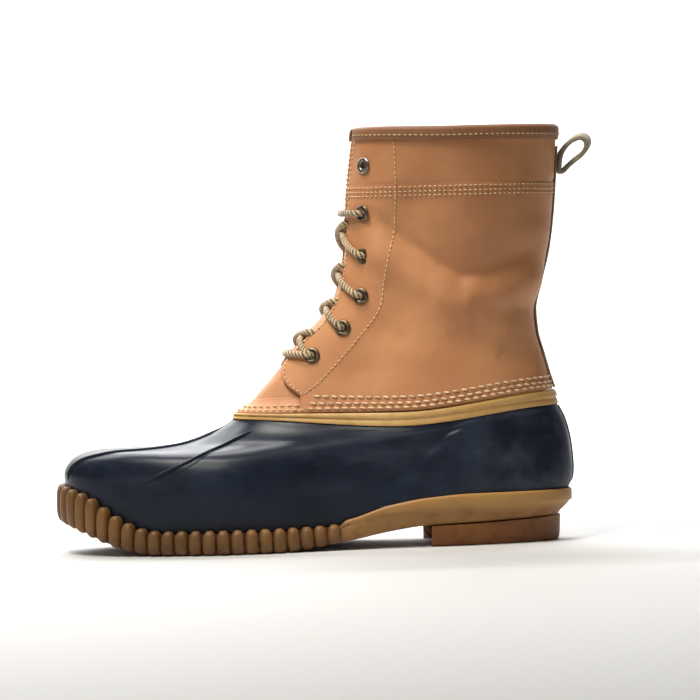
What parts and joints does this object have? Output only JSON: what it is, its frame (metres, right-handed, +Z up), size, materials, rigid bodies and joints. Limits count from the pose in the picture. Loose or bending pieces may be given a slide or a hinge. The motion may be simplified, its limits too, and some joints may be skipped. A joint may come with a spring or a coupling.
{
  "type": "duck boot",
  "caption": "Left duck boot with a ribbed gum sole, moulded dark rubber bottom, laced tan leather shaft, gusseted tongue, insole and rear pull loop, standing empty.",
  "frame": {"origin": "middle of the boot's box, on the floor it stands on", "axes": "+X towards the heel, -X towards the toe, -Y the outer side, +Z up"},
  "size_m": [0.3152, 0.1134, 0.2413],
  "materials": {
    "gum_rubber": "satin moulded gum",
    "dark_rubber": "semi-gloss moulded rubber",
    "tan_leather": "smooth oiled leather",
    "lining": "matt lining",
    "webbing": "woven",
    "lace_cord": "braided, speckled",
    "antique_metal": "antiqued"
  },
  "bodies": {
    "root": {"outsole": "gum_rubber", "heel": "gum_rubber", "top_band": "gum_rubber", "rubber_shell": "dark_rubber", "leather_shaft": "tan_leather", "collar_binding": "tan_leather", "tongue": "tan_leather", "backstay": "tan_leather", "insole": "lining", "pull_loop": "webbing", "lace": "lace_cord", "eyelet_outer_1": "antique_metal", "eyelet_outer_2": "antique_metal", "eyelet_outer_3": "antique_metal", "eyelet_outer_4": "antique_metal", "eyelet_outer_5": "antique_metal", "eyelet_outer_6": "antique_metal", "eyelet_inner_1": "antique_metal", "eyelet_inner_2": "antique_metal", "eyelet_inner_3": "antique_metal", "eyelet_inner_4": "antique_metal", "eyelet_inner_5": "antique_metal", "eyelet_inner_6": "antique_metal"}
  },
  "joints": []
}
